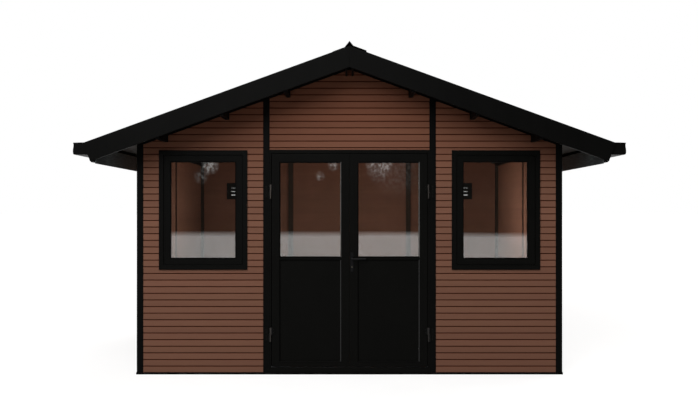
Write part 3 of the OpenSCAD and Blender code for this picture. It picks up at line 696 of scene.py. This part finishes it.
def floor_boards():
    """The boards of the floor run along x, and are cut out round the posts."""
    post_x, post_y = inset(BAY_X, FLOOR_GAP), BAY_Y - FLOOR_GAP
    door_post, strip_x, strip_y = DOOR_POST - FLOOR_GAP, FLOOR_X - FLOOR_GAP, STRIP_Y + FLOOR_GAP
    bays = [(-post_x[1], -post_x[0]), post_x]
    whole = [(-FLOOR_X, FLOOR_X)]
    bands = [
        (-FLOOR_Y, -post_y, bays), (-post_y, -strip_y, whole), (-strip_y, strip_y, [(-strip_x, strip_x)]),
        (strip_y, post_y, whole), (post_y, FLOOR_Y, bays + [(-door_post, door_post)]),
    ]
    shape = Shape()

    def place(u, p):
        return (u, p[1], FLOOR_TOP - p[0])

    boards(shape, bands, place, FLOOR_TOP - FLOOR_UNDER, FLOOR_PITCH, -FLOOR_Y, FLOOR_GROOVE)
    made("boards_floor", shape, "root", ["floor", "floor_joint", "floor"], ["floor_deck"])


# ---------------------------------------------------------------- glazing
# The kinds of a bead's bottom, right, top and left: 0 bare, 1 a darker, duller copy as painted shade, 2 a
# pale copy as painted highlight on the right side, which faces the lamp
GLASS_BEAD, PANEL_BEAD = (1, 2, 1, 1), (1, 0, 1, 1)
DOOR_BEAD_LAP = (0.002, 0.0035)  # how far the door beads reach over the openings' left and right edges
WINDOW_BEAD_LAP = {-1: 0.0015, 1: 0.007}  # the same, at the right edge of the left and the right window
DOOR_RECESS, PANEL_RECESS, WINDOW_RECESS = 0.010, 0.008, 0.005  # of glass or panel, behind the front face
BACK_BEAD_MORE = 0.005  # how much deeper the beads behind a door's glass and panel are
PANE_T, PANE_STEP, PANE_LAP = 0.004, 0.016, 0.009
SPACER_W, SPACER_FIT = 0.0095, 0.0002


def bead_profile(face, recess, back, out=4.5):
    """The section of a bead that lies on a frame's face, slopes down to the opening and covers its edge.

    It stands out millimetres proud of the face, or behind it when it is a back bead."""
    way = -1 if back else 1
    proud = out * 1e-3
    line = [
        (-0.0095, 0), (-0.0095, -0.4 * proud), (-0.0075, -proud), (-0.0065, -proud),
        (0.0003, -0.0002), (0.0003, recess), (0, recess), (0, 0),
    ]
    return [(by, face + way * depth) for by, depth in line]


def sealed_panes(panes, spacer, x_span, z_span, front):
    """Two sheets of glass, the first with its face at y = front, and the spacer between them."""
    xs, zs = inset(x_span, -PANE_LAP), inset(z_span, -PANE_LAP)
    for y in (front, front + PANE_STEP):
        panes.box((xs[0], y, zs[0]), (xs[1], y + PANE_T, zs[1]))
    near, far = inset((front + PANE_T, front + PANE_STEP), SPACER_FIT)
    spacer.ring(xs, zs, [(0, near), (SPACER_W, near), (SPACER_W, far), (0, far)])


def door_glazing():
    """In each leaf, the glass, its spacer, and the beads round the glass and the panel."""
    for side, word in SIDES:
        beads, panes, spacer = Shape(), Shape(), Shape()
        light = tuple(sorted((side * LIGHT_X[0], side * LIGHT_X[1])))
        lapped = light[0] + DOOR_BEAD_LAP[0], light[1] - DOOR_BEAD_LAP[1]
        for y, more, back in ((FACE_Y, 0, False), (LEAF_BACK, BACK_BEAD_MORE, True)):
            beads.ring(lapped, GLASS_Z, bead_profile(y, DOOR_RECESS + more, back), GLASS_BEAD)
            beads.ring(lapped, PANEL_Z, bead_profile(y, PANEL_RECESS + more, back), PANEL_BEAD)
        sealed_panes(panes, spacer, light, GLASS_Z, FACE_Y + DOOR_RECESS)
        body = "door_" + word
        # door beads: their coat, a darker, duller copy as painted shade, and a pale copy as painted
        # highlight
        made("beads_door_" + word, beads, body, ["bead", "bead_shaded", "bead_highlight"])
        made("glass_door_" + word, panes, body, ["glass"], ["door_glass_" + word])
        made("spacer_door_" + word, spacer, body, ["rubber"])


def window_glazing():
    """The glass of both windows, with spacers and beads."""
    beads, panes, spacer = Shape(), Shape(), Shape()
    for side, _ in SIDES:
        light = inset((side * WINDOW_X, side * WINDOW_X), -WINDOW_HALF)
        lapped = light[0], light[1] - WINDOW_BEAD_LAP[side]
        for y, back in ((FACE_Y, False), (SASH_BACK, True)):
            beads.ring(lapped, WINDOW_Z, bead_profile(y, WINDOW_RECESS, back, 2.0))
        sealed_panes(panes, spacer, light, WINDOW_Z, FACE_Y + WINDOW_RECESS)
    # the window beads take only the darker, duller copy, as painted shade
    made("beads_windows", beads, "root", ["bead_shaded"])
    made("glass_windows", panes, "root", ["glass"], ["window_glass"])
    made("spacer_windows", spacer, "root", ["rubber"])


# ---------------------------------------------------------------- small parts of the doors
CAP_Y = inset((FACE_Y - HINGE_PLATE_T, FACE_Y - HINGE_PLATE_T), -0.0006)  # on the faces of the plates
FRAME_CAP, LEAF_CAP = (0.0138, 0.0584), (-0.0444, -0.0136)  # reach of the caps, from the hinge's axis
FRAME_SCREWS, LEAF_SCREWS = (-0.042, -0.014, 0.022, 0.046), (0.018, 0.048)  # above the hinge's middle
FRAME_SCREW_X, LEAF_SCREW_X = HINGE_X + 0.036, HINGE_X - 0.029
CAP_HALF_H = HINGE_H / 2 + 0.0003


def hinge_parts(side, word):
    """Screws and thin caps on both plates of each hinge, and a button under its knuckle."""
    fixed, moving = Shape(), Shape()
    for z in HINGES:
        for dz in FRAME_SCREWS:
            fixed.screw((side * FRAME_SCREW_X, CAP_Y[0], z + dz), (0, -1, 0))
        for dz in LEAF_SCREWS:
            moving.screw((side * LEAF_SCREW_X, CAP_Y[0], z + dz), (0, -1, 0))
        button = [(0.0085, 0), (0.0085, 0.002), (0.005, 0.004)]
        fixed.turned((side * HINGE_X, HINGE_Y, z - HINGE_H / 2), (0, 0, -1), button, 20)
    made("hinge_screws_" + word, fixed, "root", ["screw"])
    made("leaf_screws_" + word, moving, "door_" + word, ["screw"])
    fixed, moving = Shape(), Shape()
    frame_cap, leaf_cap = ([HINGE_X + reach for reach in cap] for cap in (FRAME_CAP, LEAF_CAP))
    for z in HINGES:
        fixed.box(*on_side(side, frame_cap, CAP_Y, (z - CAP_HALF_H, z + CAP_HALF_H)), 0.0006)
        moving.box(*on_side(side, leaf_cap, CAP_Y, (z, z + CAP_HALF_H)), 0.0006)
    made("hinge_caps_" + word, fixed, "root", ["door"])
    made("leaf_caps_" + word, moving, "door_" + word, ["door"])


def meeting_strip(side, word):
    """Strips that close the gap between the leaves, in front and behind, held by one leaf."""
    shape = Shape()
    for y0, y1, inner in ((0.0008, 0.0060, 0.00005), (0.0380, 0.0430, 0.0020)):
        low, high = on_side(side, (inner, LEAF_X[0]), (FACE_Y + y0, FACE_Y + y1), inset(LEAF_Z, 0.002))
        shape.box(low, high, 0.0006)
    made("meeting_strip_" + word, shape, "door_" + word, ["door"])


def handle_parts():
    """The key barrel and the screws in the handle's plates."""
    barrel, screws = Shape(), Shape()
    x, key_z = middle(PLATE_X), PLATE_Z[0] + 0.046
    for y, out in ((PLATE_FRONT, -1), (PLATE_BACK, 1)):
        rim, core = [(0.0085, -0.001), (0.0085, 0.0022), (0.0078, 0.003)], [(0.0060, 0), (0.0056, 0.0006)]
        barrel.turned((x, y, key_z), (0, out, 0), rim, 24)
        barrel.turned((x, y + out * 0.003, key_z), (0, out, 0), core, 24, 1)
        for z in inset(PLATE_Z, 0.012):
            screws.screw((x, y, z), (0, out, 0), 0.0038)
    made("key_barrel", barrel, "door_right", ["handle", "brass"])
    made("plate_screws", screws, "door_right", ["screw"])


def sill_ribs():
    """Five ribs along the top of the sill."""
    shape = Shape()
    half, low, high = 0.736, 0.0668, 0.0684
    for k in range(5):
        y = FACE_Y + 0.008 + k * 0.009
        shape.box((-half, y, low), (half, y + 0.0045, high), 0.0007)
    made("sill_ribs", shape, "root", ["zinc"])


def door_parts():
    for side, word in SIDES:
        hinge_parts(side, word)
    for side, word in SIDES:
        meeting_strip(side, word)
    handle_parts()
    sill_ribs()


# ---------------------------------------------------------------- small parts of the roof and the vents
def roof_screws(side, word):
    """Rows of screws on the ribs of the roof sheets, and one through the ridge cap on every second rib."""
    shape = Shape()
    out = (side * SIN, 0, COS)
    for i in range(RIBS):
        y = (i - (RIBS - 1) / 2) * RIB_PITCH
        for x in SCREW_ROWS:
            shape.hex_screw((side * x, y, roof_top(x)), out)
        if i % 2 == 0:
            shape.hex_screw((side * CAP_SCREW_X, y, roof_top(CAP_SCREW_X) + CAP_TOP[side] / COS), out)
    made("roof_screws_" + word, shape, "root", ["screw"])


def gutter_brackets(side, word):
    """Seven straps across a gutter, each above a screw in the gutter's back."""
    shape = Shape()
    x_span, z_span = (GUTTER_X[0] + GUTTER_T, GUTTER_X[1] - 0.014), (2.1335, 2.1360)
    for k in range(-3, 4):
        y = k * 0.58
        shape.box(*on_side(side, x_span, (y - 0.010, y + 0.010), z_span), 0.0005)
        shape.hex_screw((side * (x_span[0] + 0.0005), y, 2.1180), (side, 0, 0), 0.004)
    made("gutter_brackets_" + word, shape, "root", ["sheet"])


def eave_lining(side, word):
    """Three painted boards end to end along the inner side of the eave board. Their pale grey, paler
    towards the middle of the shed, is painted light on the eave board's inner side.
    """
    shape = Shape()
    half_gap = 0.0005
    cuts = (-ROOF_Y + half_gap, -LINING_JOINT, LINING_JOINT, ROOF_Y - half_gap)
    for y_span in zip(cuts, cuts[1:]):
        corners = on_side(side, LINING_X, inset(y_span, half_gap), LINING_Z)
        shape.box(*corners, 0.001, random.random())
    made("eave_lining_" + word, shape, "root", ["lining"])


def roof_parts():
    for side, word in SIDES:
        roof_screws(side, word)
        gutter_brackets(side, word)
        eave_lining(side, word)


def slot_parts(net, baffles, x, z, clear):
    """The net and the rain baffle in one slot. clear is how far above the slot's bottom the baffle ends."""
    low, high, wire = z - SLOT_HALF_H, z + SLOT_HALF_H, 0.0005
    baffles.box((x - 0.0528, BAFFLE_Y[0], low + clear), (x + 0.0528, BAFFLE_Y[1], high - 0.0001))
    for j in range(-8, 9):
        across = x + j * 0.0065
        net.box((across - wire, NET_Y[0], low), (across + wire, NET_Y[1], high))
    near, far = inset(NET_Y, -0.0001)
    for up in (z - 0.0027, z + 0.0027):
        net.box((x - SLOT_HALF_W, near, up - wire), (x + SLOT_HALF_W, far, up + wire))


def vent_parts():
    """Screws in both flanges of each vent, and the net and the baffles in its three slots."""
    screws, net, baffles = Shape(), Shape(), Shape()
    corner = 0.098
    for side, _ in SIDES:
        x = side * VENT_X
        for dx in (-corner, corner):
            for dz in (-corner, corner):
                screws.screw((x + dx, WALL_Y + VENT_FLANGE, VENT_Z + dz), (0, 1, 0), 0.0035)
                screws.screw((x + dx, WALL_Y - WALL_T - VENT_FLANGE, VENT_Z + dz), (0, -1, 0), 0.0035)
        for k, clear in ((-1, 0.0100), (0, 0.0064), (1, 0.0030)):
            slot_parts(net, baffles, x, VENT_Z + SLOT_PITCH * k, clear)
    made("vent_screws", screws, "root", ["screw"])
    made("vent_net", net, "root", ["zinc"])
    made("vent_baffles", baffles, "root", ["vent"])


# ---------------------------------------------------------------- coats of the CAD nodes
SLOT_LOOKS = {
    "frame_metal": "frame", "door_metal": "door", "roof_sheet": "sheet", "hinge_steel": "hinge",
    "handle_metal": "handle", "floor_boards": "bearer", "roof_boards": "deck",
    "wall_planks": "plank_x", "glass": "glass",
}
# the base frame takes the beads' darker, duller copy, as painted shade along the ground
NODE_LOOKS = {"vents": "vent", "base_frame": "bead_shaded"}  # nodes that look unlike the rest of their slot
ROUNDED = {
    0.0015: ("corner_posts", "door_posts", "back_posts", "side_posts", "base_frame", "purlins",
             "ridge_boards", "eave_boards", "verge_boards_front", "verge_boards_back"),
    0.0012: ("door_leaf_left", "door_frame", "window_frames", "window_sashes"),
}


def soften(node, width):
    """Rounds a CAD node's edges for the eye with modifiers, which leave its own points alone."""
    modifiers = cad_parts[node].modifiers
    weld = modifiers.new("weld", "WELD")
    weld.merge_threshold = 0.00002
    bevel = modifiers.new("round", "BEVEL")
    bevel.width = width
    bevel.segments = 2
    bevel.limit_method = "ANGLE"
    bevel.angle_limit = math.radians(32)
    bevel.use_clamp_overlap = True


def coats():
    """Gives the CAD nodes their looks, and rounds the edges of the large ones."""
    for name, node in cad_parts.items():
        own = node.data.materials
        for i, slot in enumerate(own):
            own[i] = LOOKS[NODE_LOOKS.get(name) or SLOT_LOOKS[slot.name.split(".")[0]]]
    for width, names in ROUNDED.items():
        for name in names:
            soften(name, width)


# ---------------------------------------------------------------- stage
KEY = 1.15  # strength of the main lamp, at which a colour renders as it is written
KEY_FAR, KEY_UP, KEY_LEFT, KEY_SPREAD = 11.0, math.radians(40), math.radians(20), math.radians(25)
KEY_AIM = Vector((0, -1.5, 1.0))
ROOM_LAMPS = (  # name, kind, watts, place
    ("inside_left", "POINT", 14, (-1.1, -0.1, 1.4)),
    ("inside_middle", "POINT", 42, (0.2, -0.3, 1.4)),
    ("inside_right", "POINT", 9, (1.3, -0.2, 1.3)),
    ("inside_wall", "SPOT", 67, (0.4, -0.3, 1.45)),
)
GROUND, GROUND_Z = 400, -0.0005
SEEN_RAYS = ("Is Camera Ray", "Is Glossy Ray", "Is Transmission Ray")
FLAG_FAR, FLAG_LOW, FLAG_HIGH = 30, 0.15, 40
# Soft gaps of light in the front flag, as between leaves: x, height, reach and brightness
FLAG_GAPS = (
    (-7.00, 3.20, 0.40, 0.3), (-6.58, 3.70, 0.44, 1.3), (-1.40, 3.22, 0.26, 0.7), (-0.76, 3.74, 0.32, 0.7),
    (1.00, 3.78, 0.28, 0.8), (1.35, 3.50, 0.60, 0.5), (1.66, 3.78, 0.40, 1.7), (2.20, 3.45, 1.30, 0.15),
)
EYE, LENS, SHIFT = (0, -8.601, 1.527), 38.965, (-0.00073, 0.0035)


def added(name, data):
    """An object of that data, in the scene."""
    obj = bpy.data.objects.new(name, data)
    bpy.context.scene.collection.objects.link(obj)
    return obj


def plane(name, corners):
    mesh = bpy.data.meshes.new(name)
    mesh.from_pydata(corners, [], [(0, 1, 2, 3)])
    return added(name, mesh)


def surroundings():
    """A white background for the eye, and a weak warm light from all round for the rest."""
    world = bpy.data.worlds.new("surroundings")
    bpy.context.scene.world = world
    world.use_nodes = True
    tree = world.node_tree
    soft = tree.nodes["Background"]
    soft.inputs["Color"].default_value = (1.0, 0.88, 0.76, 1)
    soft.inputs["Strength"].default_value = 0.20
    white = tree.nodes.new("ShaderNodeBackground")
    white.inputs["Color"].default_value = (1, 1, 1, 1)
    mix = tree.nodes.new("ShaderNodeMixShader")
    tree.links.new(ray_is(tree, *SEEN_RAYS), mix.inputs[0])
    tree.links.new(soft.outputs[0], mix.inputs[1])
    tree.links.new(white.outputs[0], mix.inputs[2])
    tree.links.new(mix.outputs[0], tree.nodes["World Output"].inputs["Surface"])


def outside_lamps():
    """A broad soft lamp in front, up and to the left, and a weaker one behind for the back wall."""
    key = bpy.data.lights.new("key", "AREA")
    key.shape = "DISK"
    key.size = 2 * KEY_FAR * math.tan(KEY_SPREAD)
    key.energy = KEY * math.pi ** 2 * KEY_FAR ** 2
    lamp = added("key", key)
    across = math.cos(KEY_UP)
    towards = Vector((-math.sin(KEY_LEFT) * across, -math.cos(KEY_LEFT) * across, math.sin(KEY_UP)))
    lamp.location = towards * KEY_FAR + KEY_AIM
    lamp.rotation_euler = towards.to_track_quat("Z", "Y").to_euler()
    lamp.visible_camera = False
    fill = bpy.data.lights.new("fill", "SUN")
    fill.energy = 2.6
    fill.angle = math.radians(60)
    added("fill", fill).rotation_euler = Vector((0.45, 0.75, 0.65)).to_track_quat("Z", "Y").to_euler()


def room_lamps():
    """Lamps in the room that neither the camera nor a reflection shows. The spot lights the right wall."""
    for name, kind, watts, place in ROOM_LAMPS:
        light = bpy.data.lights.new(name, kind)
        light.energy = watts
        light.color = (1.0, 0.96, 0.94)
        light.shadow_soft_size = 0.25
        lamp = added(name, light)
        if kind == "SPOT":
            light.spot_size = math.radians(70)
            light.spot_blend = 1.0
            lamp.rotation_euler = (math.radians(90), 0, math.radians(-65))
        lamp.location = place
        lamp.visible_camera = lamp.visible_glossy = lamp.visible_transmission = False


def ground():
    """A pale floor that shines a little by itself, more so far out, and still takes the shed's shadow."""
    r = GROUND
    floor = plane("floor", [(-r, -r, 0), (r, -r, 0), (r, r, 0), (-r, r, 0)])
    floor.location.z = GROUND_Z
    n = Nodes("floor")
    colour = n.mix(n.span(n.noise(3, 3, 0.5), 0.3, 0.7), (0.29, 0.29, 0.29, 1), (0.31, 0.31, 0.31, 1))
    n.finish(colour, 0.9, 0.0)
    x, y = n.place("X"), n.place("Y")
    far = n.math("POWER", n.math("ADD", n.both(x, x), n.both(y, y)), 0.5)
    glow = n.add("ShaderNodeEmission")
    n.link(n.span(far, 4.0, 14.0, 0.76, 0.88), glow.inputs["Strength"])
    glowing = n.add("ShaderNodeAddShader")
    n.link(n.bsdf.outputs[0], glowing.inputs[0])
    n.link(glow.outputs[0], glowing.inputs[1])
    n.blend(ray_is(n.tree, *SEEN_RAYS), n.bsdf, glowing)
    floor.data.materials.append(n.mat)


def flag_look(name, gaps):
    """Darkness with gaps of light in it, above a soft line. Below the line the far ground shows."""
    n = Nodes(name)
    light = 0.0
    for x, z, reach, bright in gaps:
        gap = n.add("ShaderNodeVectorMath")
        gap.operation = "DISTANCE"
        gap.inputs[1].default_value = (x, -FLAG_FAR, z)
        n.link(n.coord, gap.inputs[0])
        light = n.math("ADD", light, n.span(gap.outputs["Value"], 0.0, reach, bright, 0.0))
    if gaps:
        light = n.both(light, n.span(n.noise(6.5, 2, 0.6), 0.44, 0.62, 0.18, 1.55))
    dark = n.add("ShaderNodeEmission")
    n.link(n.mix(light, (0.012, 0.010, 0.009, 1), (0.95, 0.93, 0.92, 1)), dark.inputs["Color"])
    # the far ground falls a little to the right
    level = n.math("ADD", n.place("Z"), n.span(n.place("X"), 3.0, 6.5, -0.01, 0.05))
    n.blend(n.span(level, 0.355, 0.615), n.add("ShaderNodeBsdfTransparent"), dark)
    return n.mat


def flags():
    """Two dark flags that only the reflections see, in front of the shed and on its right."""
    far = FLAG_FAR
    for name, a, b, gaps in (("flag_front", (-far, -far), (far, -far), FLAG_GAPS),
                             ("flag_right", (far, -far), (far, far), ())):
        flag = plane(name, [(*a, FLAG_LOW), (*b, FLAG_LOW), (*b, FLAG_HIGH), (*a, FLAG_HIGH)])
        flag.data.materials.append(flag_look(name, gaps))
        flag.visible_camera = flag.visible_diffuse = flag.visible_shadow = False
        flag.visible_volume_scatter = False


def camera():
    """The photo's view, straight at the front."""
    lens = bpy.data.cameras.new("camera")
    lens.sensor_width = 36
    lens.lens = LENS
    lens.shift_x, lens.shift_y = SHIFT
    eye = added("camera", lens)
    eye.location = EYE
    eye.rotation_euler = (math.radians(90), 0, 0)
    bpy.context.scene.camera = eye
    bpy.context.scene.view_settings.view_transform = "Standard"


coats()
plank_walls()
roof_boards()
floor_boards()
door_glazing()
window_glazing()
door_parts()
roof_parts()
vent_parts()
surroundings()
outside_lamps()
room_lamps()
ground()
flags()
camera()
